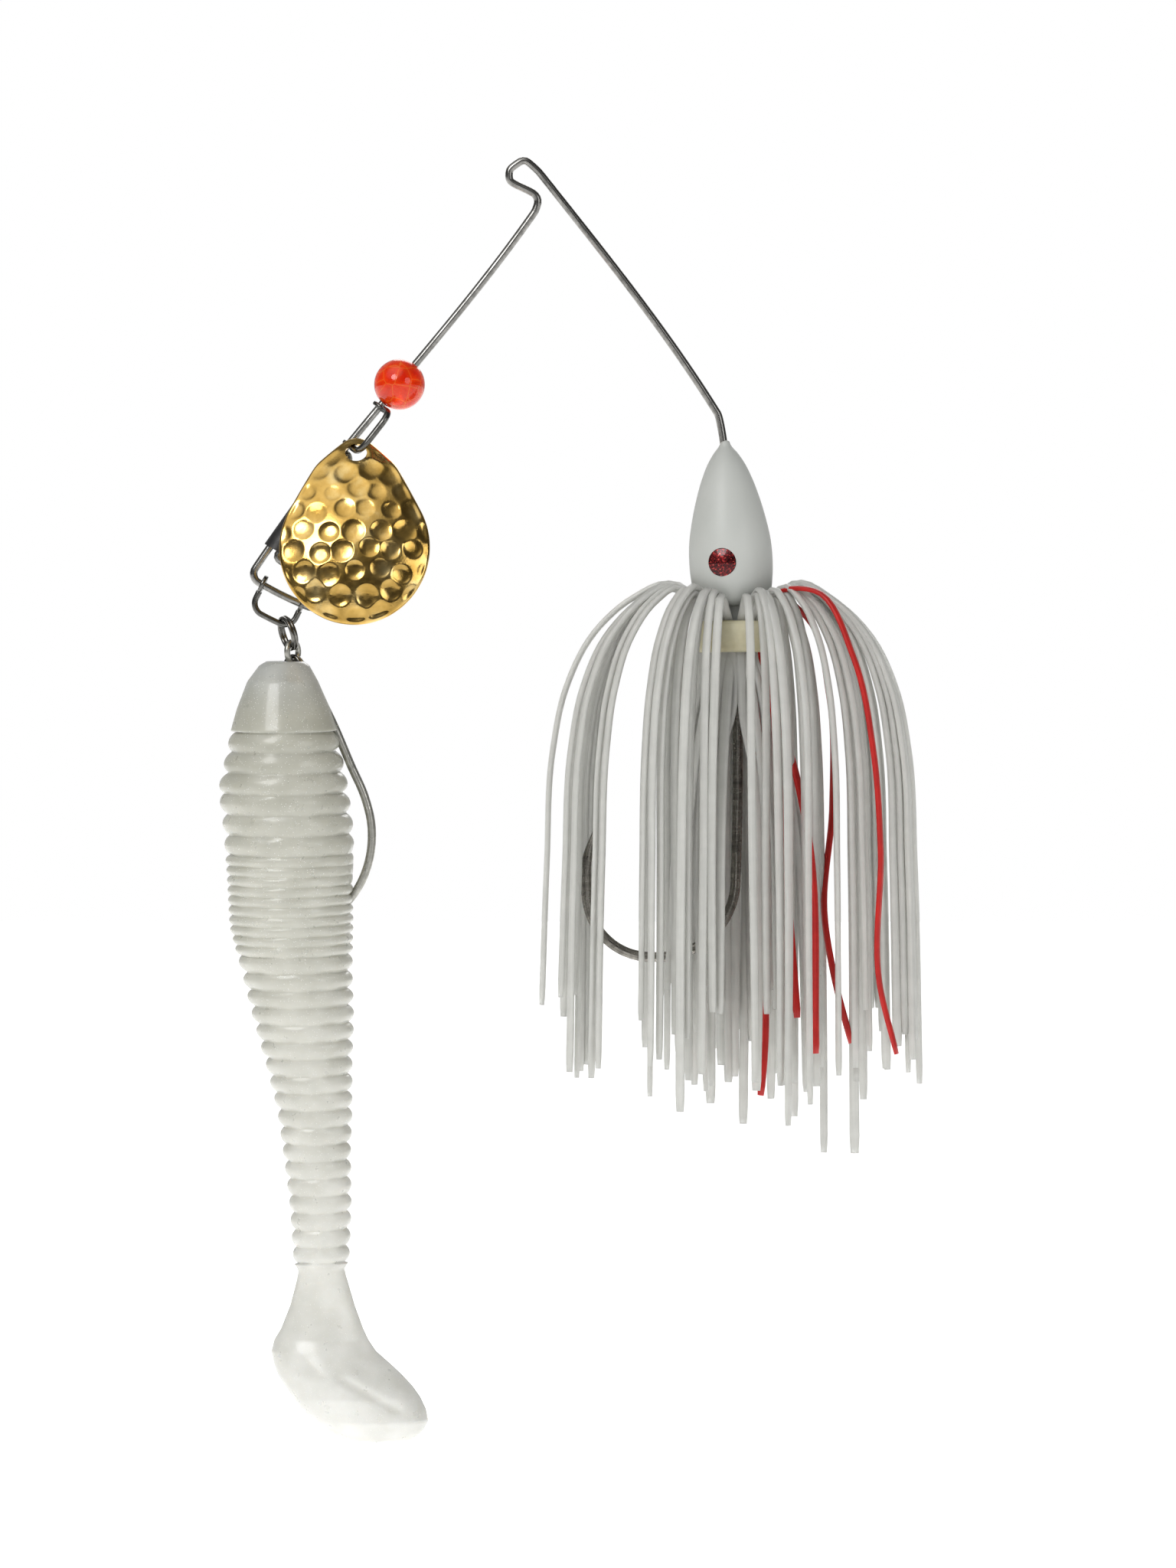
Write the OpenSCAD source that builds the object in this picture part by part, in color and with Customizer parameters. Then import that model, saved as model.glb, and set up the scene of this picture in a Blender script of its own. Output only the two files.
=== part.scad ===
// Spinnerbait with a hammered Colorado blade, a skirted bullet head and a ribbed paddle-tail trailer.
// The frame wire lies in the XZ plane. The origin is the centre of the line-tie bend, and +Z is up.

/* [Wire frame] */
// Diameter of the stainless frame wire
wire_d = 0.95; // [0.8:0.01:1.0]

/* [Head] */
// Height of the bullet head
head_h = 19.8; // [18:0.1:21]
// Largest radius of the head
head_r = 5.18; // [4.8:0.01:5.5]
// Lean of the head from the vertical, in degrees
head_lean = 2.9; // [0:0.1:4]
// Radius of the skirt keeper below the head
keeper_r = 2.1; // [1.8:0.05:2.2]
// Diameter of the inlaid eyes
eye_d = 3.46; // [3:0.01:4]

/* [Main hook] */
// Diameter of the main hook's wire
hook_d = 1.26; // [1.0:0.01:1.4]

/* [Skirt] */
// Outer diameter of the rubber collar
collar_d = 9.5; // [9:0.1:10]
// Height of the rubber collar
collar_h = 3.9; // [3.5:0.1:4.2]
// Width of a silicone strand
strand_w = 0.7; // [0.5:0.02:0.7]
// Thickness of a silicone strand
strand_t = 0.26; // [0.2:0.02:0.26]

/* [Blade] */
// Width of the blade
blade_w = 18.5; // [17:0.1:20]
// Thickness of the blade's sheet
blade_t = 0.5; // [0.4:0.05:0.7]
// Radius of the sphere that the blade is cupped to
cup_r = 26; // [24:0.5:32]
// Diameter of the blade's hole
blade_hole_d = 2.7; // [2.6:0.05:3]
// Tilt of the resting blade away from the arm, in degrees
blade_tilt = 18; // [15:0.5:18]

/* [Beads] */
// Diameter of the red glass bead
bead_d = 6.3; // [6:0.05:6.6]
// Diameter of each small metal bead
small_bead_d = 2.9; // [2.6:0.05:3]

/* [Trailer] */
// Diameter of the trailer hook's wire
trailer_d = 1.1; // [0.9:0.01:1.2]
// Depth of the soft bait as a part of its width
bait_depth = 0.84; // [0.7:0.01:0.95]
// Height of each rib above the bait's core
rib_h = 1.15; // [0.8:0.05:1.3]

/* [Hidden] */
wire_r = wire_d / 2;
core_r = wire_r - 0.01;
bore_play = 0.04;
tube_sides = 12;
arm_dir = [-0.617, -0.787];
arm_angle = atan2(arm_dir[1], arm_dir[0]);
arm_start = [-0.45, -6.46];
arm_len = 53.2;
loop_dir = [0.897, -0.443];
loop_angle = atan2(loop_dir[1], loop_dir[0]);

// Points along the arm, measured from its upper end, and off to its lower side.
arm_side = [0.787, -0.617];
loop_corner_s = 54.8;
function on_arm(s, off = 0) = arm_start + arm_dir * s + arm_side * off;
function on_loop(s) = on_arm(loop_corner_s) + loop_dir * s;
tag_off = 1.15;
loop_from = 1.6;
loop_len = 6.1;

// Geometry of bent wires: unit vectors, turns, and arcs through rounded corners.
function unit(v) = v / norm(v);
function heading(v) = atan2(v[1], v[0]);
function wrap(a) = a > 180 ? a - 360 : a < -180 ? a + 360 : a;
function corner(a, p, b, r) =
    let (
        turn = wrap(heading(b - p) - heading(p - a)),
        back = r * tan(abs(turn) / 2),
        start = p - unit(p - a) * back,
        centre = start + [-unit(p - a)[1], unit(p - a)[0]] * sign(turn) * r,
        from = heading(start - centre),
        steps = max(2, ceil(abs(turn) / 18))
    )
    [for (i = [0 : steps]) centre + r * [cos(from + turn * i / steps), sin(from + turn * i / steps)]];

function bend_at(p, r) = [p[0], p[1], r];

// A flat path in X and Z from corners, each of which is [x, z, radius].
function rounded(path) = [
    for (i = [0 : len(path) - 1])
        let (p = [path[i][0], path[i][1]])
        each (i == 0 || i == len(path) - 1) ? [p] :
            corner([path[i - 1][0], path[i - 1][1]], p, [path[i + 1][0], path[i + 1][1]], path[i][2])
];
function in_plane(path) = [for (p = path) [p[0], 0, p[1]]];

// Points and faces of a tube along a route. The side vector stays square to ref.
function tangent(p, i) = unit(p[min(i + 1, len(p) - 1)] - p[max(i - 1, 0)]);
function tube_points(p, r, ref, sides) = [
    for (i = [0 : len(p) - 1])
        let (t = tangent(p, i), a = unit(cross(t, ref)), b = cross(t, a), ri = is_list(r) ? r[i] : r)
        for (k = [0 : sides - 1]) p[i] + ri * (cos(360 * k / sides) * a + sin(360 * k / sides) * b)
];
function tube_faces(rings, sides, base = 0) = concat(
    [[for (k = [0 : sides - 1]) base + k]],
    [for (i = [0 : rings - 2]) for (k = [0 : sides - 1])
        let (a = base + i * sides + k, b = base + i * sides + (k + 1) % sides)
        [a, a + sides, b + sides, b]],
    [[for (k = [sides - 1 : -1 : 0]) base + (rings - 1) * sides + k]]
);
module tube(p, r, ref = [0, 1, 0], sides = tube_sides) {
    polyhedron(points = tube_points(p, r, ref, sides), faces = tube_faces(len(p), sides));
}

// Places children with +Z along a flat direction in X and Z, at a flat point.
module along(p, angle) {
    translate([p[0], 0, p[1]]) rotate([0, 90 - angle, 0]) children();
}

// The frame wire: lower arm, line tie, upper arm and open loop.
hook_eye_z = -39.6;
shank_x = 26.2;
line_tie = rounded([
    [shank_x + 1.7, hook_eye_z, 0], [24.2, hook_eye_z, 0.9], [24.9, -34.3, 2], [24.1, -29.4, 2.5],
    [1.8, 0.72, 0.9], [0.0, 2.35, 0.85], [-1.9, 1.0, 0.9], [-1.9, -0.42, 0.85], [1.95, -2.35, 1.25],
    [1.3, -4.23, 1.2], on_arm(0.4)
]);
left_bend = rounded([on_arm(53), bend_at(on_arm(loop_corner_s), 1.2), on_loop(loop_from + 0.2)]);
tag_leg = rounded([
    on_loop(7.5), bend_at(on_loop(9.8), 0.75), [-26.0, -50.2, 1], bend_at(on_arm(50.8, tag_off), 0.5),
    on_arm(47.5, tag_off)
]);
module wire_frame() {
    color("silver") {
        tube(in_plane(line_tie), core_r);
        along(arm_start, arm_angle) cylinder(h = arm_len, r = wire_r, $fn = 32);
        tube(in_plane(left_bend), core_r);
        along(on_loop(loop_from), loop_angle) cylinder(h = loop_len, r = wire_r, $fn = 32);
        tube(in_plane(tag_leg), core_r);
    }
}

// The head, its keeper and the inlaid eyes. The head's axis leans by head_lean.
head_base = [25.9, 0, -53.1];
keeper_end = -60;
eye_z = -47.9;
eye_turn = 14;
module leaning() { translate(head_base) rotate([0, -head_lean, 0]) children(); }
module head_outline() {
    polygon([[0, 0], [4.0, 0.4], [4.7, 1.5], [head_r - 0.12, 3.4], [head_r, 5.6], [head_r - 0.1, 7.8],
        [4.6, 10.6], [3.95, 13.2], [3.1, 15.8], [2.2, 17.8], [1.3, 19.1], [0.75, head_h], [0, head_h]]);
}
module eye_axis(side) {
    translate([25.62, 0, eye_z]) rotate([0, 0, -side * eye_turn]) rotate([side * 90, 0, 0]) children();
}
module head_casting() {
    color("whitesmoke") difference() {
        union() {
            leaning() rotate_extrude($fn = 64) head_outline();
            translate([shank_x, 0, keeper_end]) cylinder(h = 7.5, r = keeper_r, $fn = 48);
            translate([shank_x, 0, keeper_end]) cylinder(h = 0.5, r = keeper_r + 0.12, $fn = 48);
        }
        for (side = [-1, 1]) eye_axis(side) translate([0, 0, 4.3]) cylinder(h = 3, d = eye_d + 0.04, $fn = 48);
    }
}
module eye(side) {
    color("darkred") intersection() {
        eye_axis(side) translate([0, 0, 4.3]) cylinder(h = 3, d = eye_d, $fn = 48);
        translate([25.62, 0, eye_z]) sphere(r = head_r + 0.12, $fn = 96);
    }
}
module eye_front() { eye(1); }
module eye_back() { eye(-1); }

// The main hook: a ring eye cast into the head, a long shank, a round bend and a barbed point.
module main_hook() {
    hook_r = hook_d / 2;
    bend = in_plane(rounded([[shank_x, -41.1, 0], [shank_x, -96.7, 9.6], [7.5, -96.7, 8], [7.8, -84.5, 0]]));
    point = [[8.3, 0, -82.2], [8.9, 0, -80.2]];
    color("dimgray") {
        translate([shank_x, 0, hook_eye_z]) rotate([0, 90, 0])
            rotate_extrude($fn = 48) translate([1.5, 0]) circle(r = hook_r - 0.02, $fn = 32);
        tube(concat(bend, point), concat([for (p = bend) hook_r], [0.4, 0.06]));
        tube([[7.95, 0, -83.6], [8.55, 0, -84.0], [9.1, 0, -84.9]], [0.42, 0.3, 0.05]);
    }
}

// The rubber collar that grips the strands on the keeper.
collar_z = -57;
collar_bore_r = 3.5;
module skirt_collar() {
    r = collar_d / 2;
    soft = 0.6;
    color("wheat") translate([shank_x, 0, collar_z]) rotate_extrude($fn = 64) hull() {
        translate([collar_bore_r, -collar_h / 2]) square([0.1, collar_h]);
        for (s = [-1, 1]) translate([r - soft, s * (collar_h / 2 - soft)]) circle(r = soft, $fn = 32);
    }
}

// The skirt: each strand is gripped at its middle, folds out over the collar and hangs down,
// and its other half fans out below the collar. reach scales how far out it falls.
fold = [[0, -54.4], [0.95, -53.7], [2.6, -52.7], [3.9, -51.2]];
umbrella = [[8.3, -50.3], [12.1, -52.0], [16.6, -56.4], [19.8, -63.3], [21.3, -71], [22, -85], [22.9, -100]];
function strand_path(turn, layer, reach, tip, low_reach, low_tip) =
    let (
        q = 2.42 + layer * 0.36,
        top = concat([for (p = fold) [q + p[0], p[1] - layer * 0.3]],
            [for (p = umbrella) [6.3 + (p[0] - 6.3) * reach, p[1] - layer * 0.3]]),
        n = len(top) - 1,
        flat = concat(
            [[top[n][0] + 0.4, tip]], [for (i = [n : -1 : 0]) top[i]],
            [[q, -56], [q, -59.6], [q + 1.5 * low_reach, -63], [q + 4 * low_reach, -74], [q + 6 * low_reach, low_tip]]
        )
    )
    [for (p = flat) [shank_x + p[0] * cos(turn), p[0] * sin(turn), p[1]]];
function strand_points(p, turn) =
    let (wide = [-sin(turn), cos(turn), 0] * strand_w / 2)
    [for (i = [0 : len(p) - 1])
        let (out = unit(cross(tangent(p, i), wide)) * strand_t / 2)
        each [p[i] - wide - out, p[i] + wide - out, p[i] + wide + out, p[i] - wide + out]];
// Each strand is [turn, layer, reach, tip, lower reach, lower tip]. One mesh holds a group.
module strands(list) {
    paths = [for (s = list) strand_path(s[0], s[1], s[2], s[3], s[4], s[5])];
    rings = len(paths[0]);
    polyhedron(
        points = [for (i = [0 : len(list) - 1]) each strand_points(paths[i], list[i][0])],
        faces = [for (i = [0 : len(list) - 1]) each tube_faces(rings, 4, i * rings * 4)]
    );
}
// A repeatable spread of values between low and high for strand number i.
function spread(i, k, low, high) =
    let (f = (i * 0.618 + k * 0.377) % 1) low + (high - low) * f;
function strand_set(first, count, layer) = [
    for (i = [0 : count - 1])
        [first + i * strand_step, layer, spread(i, 1 + layer, 0.55, 1.05), spread(i, 2 + layer, -121, -101),
            spread(i, 3 + layer, 0.45, 0.75) + 0.2 * layer, spread(i, 4 + layer, -112, -94)]
];
strand_step = 18;
module skirt_white_front() {
    color("gainsboro") strands(concat(strand_set(-168, 9, 0), strand_set(-159, 5, 2)));
}
module skirt_white_back() {
    color("gainsboro") strands(concat(strand_set(12, 9, 0), strand_set(21, 9, 2)));
}
module skirt_red() { color("red") strands(strand_set(-69, 5, 2)); }

// Round parts threaded on the arm, at distances s from its upper end.
module threaded(s) { along(on_arm(s), arm_angle) children(); }
module bead(s, d) {
    threaded(s) difference() {
        sphere(d = d, $fn = 64);
        cylinder(h = 2 * d, r = wire_r + bore_play, center = true, $fn = 32);
    }
}
red_bead_s = 24.4;
module red_bead() { color("orangered") bead(red_bead_s, bead_d); }
small_bead_s = 36.2;
module bearing_bead_upper() { color("silver") bead(small_bead_s, small_bead_d); }
module bearing_bead_middle() { color("silver") bead(small_bead_s + small_bead_d + 0.1, small_bead_d); }
module bearing_bead_lower() { color("silver") bead(small_bead_s + 2 * small_bead_d + 0.2, small_bead_d); }

// A clevis: two drilled tabs on a wire, joined by a bow. Its own frame has the wire along +Z
// from the first tab, and the bow out along +X.
tab_t = 0.5;
module clevis_shape(span, depth, bow_r) {
    bow = rounded([[0.95, 0, 0], [depth, 0, 1.5], [depth, span, 1.5], [0.95, span, 0]]);
    difference() {
        union() {
            for (z = [0, span]) translate([0, 0, z]) cylinder(h = tab_t, r = 1.2, center = true, $fn = 32);
            tube(in_plane(bow), bow_r);
        }
        translate([0, 0, -2]) cylinder(h = span + 4, r = wire_r + bore_play, $fn = 32);
    }
}
clevis_s = 28.1;
clevis_span = 6.1;
clevis_depth = 4.5;
clevis_turn = -110;
module clevis() {
    color("dimgray") threaded(clevis_s) rotate([0, 0, clevis_turn])
        clevis_shape(clevis_span, clevis_depth, 0.42);
}

// The blade: a teardrop of cupped sheet. Its frame has the hole at the origin, +Z up the blade
// and its rounded side towards -Y.
blade_at = [-20.78, -2.95, -34.32];
// The circles round the outline, as [height of the centre, radius].
blade_circles = [[-12.1, blade_w / 2], [-5.2, 6], [0, 2.3]];
module blade_outline() {
    hull() for (c = blade_circles) translate([0, c[0]]) circle(r = c[1], $fn = 72);
}
cup_z = -11;
cup_centre = sqrt(cup_r * cup_r - cup_z * cup_z);
module blade() {
    color("gold") translate(blade_at) rotate([-blade_tilt, 0, 0]) difference() {
        intersection() {
            translate([0, 8, 0]) rotate([90, 0, 0]) linear_extrude(16)
                scale([1, 1 / cos(blade_tilt)]) blade_outline();
            translate([0, cup_centre, cup_z]) difference() {
                sphere(r = cup_r + blade_t / 2, $fn = 120);
                sphere(r = cup_r - blade_t / 2, $fn = 120);
            }
        }
        rotate([90, 0, 0]) cylinder(h = 10, d = blade_hole_d, center = true, $fn = 32);
    }
}

// The tapered sleeve that holds the loop's tag against the arm.
sleeve_s = 44;
sleeve_len = 6.1;
module lock_sleeve() {
    color("black") difference() {
        threaded(sleeve_s) rotate([0, -8, 0]) cylinder(h = sleeve_len, r1 = 1.3, r2 = 1.85, $fn = 48);
        threaded(sleeve_s - 1) cylinder(h = sleeve_len + 3, r = wire_r + bore_play, $fn = 32);
        along(on_arm(47.2, tag_off), arm_angle) cylinder(h = 5, r = wire_r + bore_play, $fn = 32);
    }
}

// The trailer's link: a second clevis on the loop's run, and a split ring through its bow.
module trailer_clevis() {
    color("dimgray") along(on_loop(2.0), loop_angle) clevis_shape(5.5, 3.4, 0.38);
}
// The ring hangs from the bow and is turned ring_turn about its own hanging direction; so is the hook's eye.
ring_top = [-29.96, 0, -54.65];
ring_r = 2;
ring_lean = 18;
ring_turn = 22;
eye_yaw = 60;
module split_ring() {
    color("dimgray") translate(ring_top) rotate([0, -ring_lean, 0]) rotate([0, 0, ring_turn]) translate([0, 0, -ring_r])
        rotate([0, 90, 0]) rotate_extrude($fn = 64) translate([ring_r, 0])
        union() for (s = [-1, 1]) translate([0, s * 0.2]) circle(r = 0.25, $fn = 24);
}

// The trailer hook lies along the bait's belly, turns into it and ends in a buried point.
trailer_eye = [-28.76, 0, -58.84];
trailer_bend = [[-28.1, -59.2], [-26.4, -62.4], [-23.97, -67.3], [-21.5, -73], [-19.8, -76.9], [-19.0, -80.3],
    [-19.0, -83], [-19.6, -85.8], [-20.9, -88.5], [-23.2, -90.9], [-26.2, -91.6], [-29.0, -90.2],
    [-30.6, -87], [-31.2, -83], [-31.4, -80], [-31.5, -77.5]];
module trailer_hook() {
    r = trailer_d / 2;
    n = len(trailer_bend);
    color("silver") {
        translate(trailer_eye) rotate([0, 0, eye_yaw]) rotate([90, 0, 0])
            rotate_extrude($fn = 48) translate([1.25, 0]) circle(r = 0.38, $fn = 24);
        tube(in_plane(trailer_bend), [for (i = [0 : n - 1]) i < 2 ? 0.4 : i > n - 3 ? (n - i) * r / 3 - 0.12 : r]);
    }
}

// The screw lock: a loop round the hook's eye and a coil turned into the bait's nose.
coil_turns = 4;
module screw_lock() {
    wire = 0.28;
    color("silver") {
        translate([-28.76, 0, -60.4]) rotate([0, 0, eye_yaw]) rotate([0, 90, 0])
            rotate_extrude($fn = 48) translate([1, 0]) circle(r = wire, $fn = 24);
        tube([for (a = [-90 : 24 : coil_turns * 360])
            [-29.3 + 1.1 * cos(a), 1.1 * sin(a), -61.6 - 1.3 * a / 360]], wire, [0, 0, 1], 8);
    }
}

// The soft bait: rings of [z, x of the middle, half width], the ribs on a smooth core.
bait_rows = [[-60, -29.7, 2.3], [-60.5, -29.8, 3.1], [-62.5, -30, 4.4], [-65.9, -29.9, 5.8], [-68.4, -29.8, 6.6],
    [-75.8, -29.9, 8.1], [-81.5, -29.2, 8.1], [-87.2, -29.1, 7.8], [-92.9, -28.9, 7.7], [-98.6, -28.2, 6.9],
    [-104.3, -27.4, 6.3], [-110, -26.7, 5.4], [-115.7, -26, 4.7], [-121.4, -25.7, 4.2], [-127.1, -25.3, 3.9],
    [-132.8, -25.2, 3.6], [-134.4, -25.2, 3.5]];
rib_top = -68.6;
rib_rows = 28;
function row_value(rows, z, k) = lookup(z, [for (i = [len(rows) - 1 : -1 : 0]) [rows[i][0], rows[i][k]]]);
bait_z = concat([for (i = [0 : 4]) bait_rows[i][0]], [for (i = [0 : rib_rows - 1]) for (f = [0.02, 0.3, 0.7, 0.98])
    rib_top - 0.02 - (i + f) * (rib_top + 134.4) / rib_rows]);
function is_rib(i) = i >= 5 && ((i - 5) % 4 == 1 || (i - 5) % 4 == 2);
function ellipse_ring(x, z, a, b, n) = [for (k = [0 : n - 1]) [x + a * cos(360 * k / n), -b * sin(360 * k / n), z]];
module bait_body() {
    sides = 20;
    n = len(bait_z);
    color("beige") polyhedron(
        points = [for (i = [0 : n - 1])
            let (z = bait_z[i], a = row_value(bait_rows, z, 2) - (i < 5 || is_rib(i) ? 0 : rib_h * 0.8))
            each ellipse_ring(row_value(bait_rows, z, 1), z, a, a * bait_depth, sides)],
        faces = tube_faces(n, sides)
    );
}

// The tail: [z, x, half width, half depth], with a round top that turns on the flex line.
tail_rows = [[-135.05, -25.2, 2.6, 0.4], [-135.4, -25.2, 3.1, 1.1], [-136, -25.1, 3.3, 1.6], [-137, -25.1, 3.5, 1.9],
    [-139.9, -25.05, 4.1, 2.0], [-142.8, -25.1, 5.1, 2.4], [-144.2, -25.2, 5.8, 2.9], [-145.6, -24.9, 6.5, 3.6],
    [-147.1, -23.9, 7.2, 4.3], [-148.5, -22.9, 7.7, 4.9], [-149.9, -21.8, 7.9, 5.2], [-151.3, -20.8, 7.9, 5.2],
    [-152.8, -19.9, 7.7, 5.0], [-154.2, -19, 7.1, 4.6], [-155.6, -18.5, 5.9, 3.8], [-156.7, -18.3, 4.2, 2.7],
    [-157.3, -18.3, 2.0, 1.2]];
module bait_tail() {
    sides = 24;
    color("beige") polyhedron(
        points = [for (r = tail_rows) each ellipse_ring(r[1], r[0], r[2], r[3], sides)],
        faces = tube_faces(len(tail_rows), sides)
    );
}

wire_frame();
head_casting();
eye_front();
eye_back();
main_hook();
skirt_collar();
skirt_white_front();
skirt_white_back();
skirt_red();
red_bead();
clevis();
blade();
bearing_bead_upper();
bearing_bead_middle();
bearing_bead_lower();
lock_sleeve();
trailer_clevis();
split_ring();
trailer_hook();
screw_lock();
bait_body();
bait_tail();
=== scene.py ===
"""The look of the spinnerbait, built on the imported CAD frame.

Shapes are given in millimetres and made in metres.
"""

import math
import random

import bpy
import numpy as np
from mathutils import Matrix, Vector


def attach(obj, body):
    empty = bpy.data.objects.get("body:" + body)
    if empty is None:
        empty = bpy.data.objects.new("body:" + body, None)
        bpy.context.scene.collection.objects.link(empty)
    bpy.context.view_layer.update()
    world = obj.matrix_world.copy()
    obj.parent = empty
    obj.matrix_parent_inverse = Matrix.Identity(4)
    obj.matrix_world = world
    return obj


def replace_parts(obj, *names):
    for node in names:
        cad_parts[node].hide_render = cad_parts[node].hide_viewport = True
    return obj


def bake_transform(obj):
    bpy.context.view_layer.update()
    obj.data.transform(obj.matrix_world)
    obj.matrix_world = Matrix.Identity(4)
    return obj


MM = 0.001
SHANK_X = 26.2
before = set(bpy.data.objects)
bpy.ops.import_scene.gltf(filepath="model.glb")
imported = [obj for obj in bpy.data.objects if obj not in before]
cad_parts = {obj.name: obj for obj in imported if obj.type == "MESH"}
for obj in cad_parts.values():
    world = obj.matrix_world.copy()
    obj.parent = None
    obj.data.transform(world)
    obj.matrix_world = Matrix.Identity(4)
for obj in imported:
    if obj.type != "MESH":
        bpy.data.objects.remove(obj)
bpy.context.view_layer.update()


# ---------------------------------------------------------------- curves


def unit(v):
    v = np.asarray(v, float)
    return v / np.linalg.norm(v)


def in_plane(points, y=0.0):
    return [(x, y, z) for x, z in points]


def rounded(corners, per_turn=7):
    """A flat path through corners [x, z, radius], with an arc at each inner corner."""
    out = [np.array(corners[0][:2], float)]
    for before, here, after in zip(corners, corners[1:], corners[2:]):
        a, p, b = (np.array(c[:2], float) for c in (before, here, after))
        into, away = unit(p - a), unit(b - p)
        turn = math.atan2(into[0] * away[1] - into[1] * away[0], float(into @ away))
        back = here[2] * math.tan(abs(turn) / 2)
        side = np.array([-into[1], into[0]]) * math.copysign(here[2], turn)
        start = p - into * back
        centre = start + side
        steps = max(3, int(abs(turn) * per_turn))
        for i in range(steps + 1):
            c, s = math.cos(turn * i / steps), math.sin(turn * i / steps)
            r = start - centre
            out.append(centre + np.array([c * r[0] - s * r[1], s * r[0] + c * r[1]]))
    out.append(np.array(corners[-1][:2], float))
    return [(p[0], 0.0, p[1]) for p in out]


def smooth(points, step):
    """A curve through the points, resampled evenly about step apart."""
    p = np.array(points, float)
    t = np.concatenate([[0], np.cumsum(np.linalg.norm(np.diff(p, axis=0), axis=1))])
    slope = np.gradient(p, t, axis=0)
    at = np.linspace(0, t[-1], max(3, int(t[-1] / step)))
    i = np.clip(np.searchsorted(t, at, side="right") - 1, 0, len(t) - 2)
    h = (t[i + 1] - t[i])[:, None]
    u = ((at - t[i]) / (t[i + 1] - t[i]))[:, None]
    return (
        (2 * u**3 - 3 * u**2 + 1) * p[i]
        + (u**3 - 2 * u**2 + u) * h * slope[i]
        + (3 * u**2 - 2 * u**3) * p[i + 1]
        + (u**3 - u**2) * h * slope[i + 1]
    )


def lookup(table, z, column):
    """The value of a column at height z in rows that run from high z to low."""
    rows = table[::-1]
    return float(np.interp(z, [r[0] for r in rows], [r[column] for r in rows]))


# ---------------------------------------------------------------- meshes


def piece(name, verts, faces, material, uvs=None):
    """A smooth-shaded object from vertices in millimetres. uvs has one pair for each corner of each face."""
    mesh = bpy.data.meshes.new(name)
    mesh.from_pydata([tuple(float(c) * MM for c in v) for v in verts], [], faces)
    if uvs is not None:
        layer = mesh.uv_layers.new(name="UVMap")
        layer.data.foreach_set("uv", np.array(uvs, np.float32).ravel())
    mesh.shade_smooth()
    mesh.materials.append(material)
    obj = bpy.data.objects.new(name, mesh)
    bpy.context.scene.collection.objects.link(obj)
    return obj


class Shell:
    """Gathers several rounded skins, so that one object can hold many wires or strands."""

    def __init__(self):
        self.verts, self.faces, self.uvs = [], [], []

    def skin(self, rings, closed=False, u0=0.0):
        """Joins rings of points into a tube. Its ends are capped, or joined to each other if closed."""
        n, m, base = len(rings), len(rings[0]), len(self.verts)
        middle = np.mean(rings, axis=1)
        run = u0 + np.concatenate([[0], np.cumsum(np.linalg.norm(np.diff(middle, axis=0), axis=1))])
        self.verts.extend(np.reshape(rings, (-1, 3)))
        for i in range(n if closed else n - 1):
            j = (i + 1) % n
            for k in range(m):
                a, b = base + i * m + k, base + i * m + (k + 1) % m
                c, d = base + j * m + (k + 1) % m, base + j * m + k
                self.faces.append((a, b, c, d))
                end = run[i] + 0.3 if j == 0 else run[j]
                self.uvs += [(run[i], k / m), (run[i], (k + 1) / m), (end, (k + 1) / m), (end, k / m)]
        if not closed:
            for first, order in ((base, range(m - 1, -1, -1)), (base + (n - 1) * m, range(m))):
                self.faces.append(tuple(first + k for k in order))
                self.uvs += [(0, k / m) for k in order]
        return self

    def wire(self, path, radius, sides=20, side=(0, 1, 0), closed=False):
        """A round wire of one radius, or one radius for each point."""
        p = np.array(path, float)
        r = np.broadcast_to(radius, len(p))
        before, after = np.roll(p, 1, axis=0), np.roll(p, -1, axis=0)
        if not closed:
            before[0], after[-1] = p[0], p[-1]
        rings, carried = [], np.array(side, float)
        for i in range(len(p)):
            t = unit(after[i] - before[i])
            carried = unit(carried - t * (carried @ t))
            other = np.cross(carried, t)
            a = np.arange(sides) * 2 * math.pi / sides
            rings.append(p[i] + r[i] * (np.outer(np.cos(a), carried) + np.outer(np.sin(a), other)))
        return self.skin(np.array(rings), closed)

    def ring(self, centre, axis, radius, wire, sides=16, around=56):
        """A closed ring of round wire."""
        axis = unit(axis)
        a = unit(np.cross(axis, (0.3, 0.2, 0.9) if abs(axis[2]) < 0.9 else (1, 0, 0)))
        b = np.cross(axis, a)
        turns = np.arange(around) * 2 * math.pi / around
        path = [np.array(centre) + radius * (math.cos(t) * a + math.sin(t) * b) for t in turns]
        return self.wire(path, wire, sides, axis, closed=True)

    def lathe(self, profile, origin, axis=(0, 0, 1), sides=72, lump=0.0):
        """Turns [radius, height] pairs about an axis. lump makes the surface a little uneven."""
        axis = unit(axis)
        a = unit(np.cross((0, 1, 0), axis))
        b = np.cross(axis, a)
        rings = []
        for r, h in profile:
            ring = []
            for k in range(sides):
                t = 2 * math.pi * k / sides
                rr = r * (1 + lump * (math.sin(3 * t + h) + 0.6 * math.sin(7 * t - 2 * h)))
                ring.append(np.array(origin) + axis * h + rr * (math.cos(t) * a + math.sin(t) * b))
            rings.append(ring)
        return self.skin(np.array(rings))

    def made(self, name, material):
        return piece(name, self.verts, self.faces, material, self.uvs)


# ---------------------------------------------------------------- materials


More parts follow.
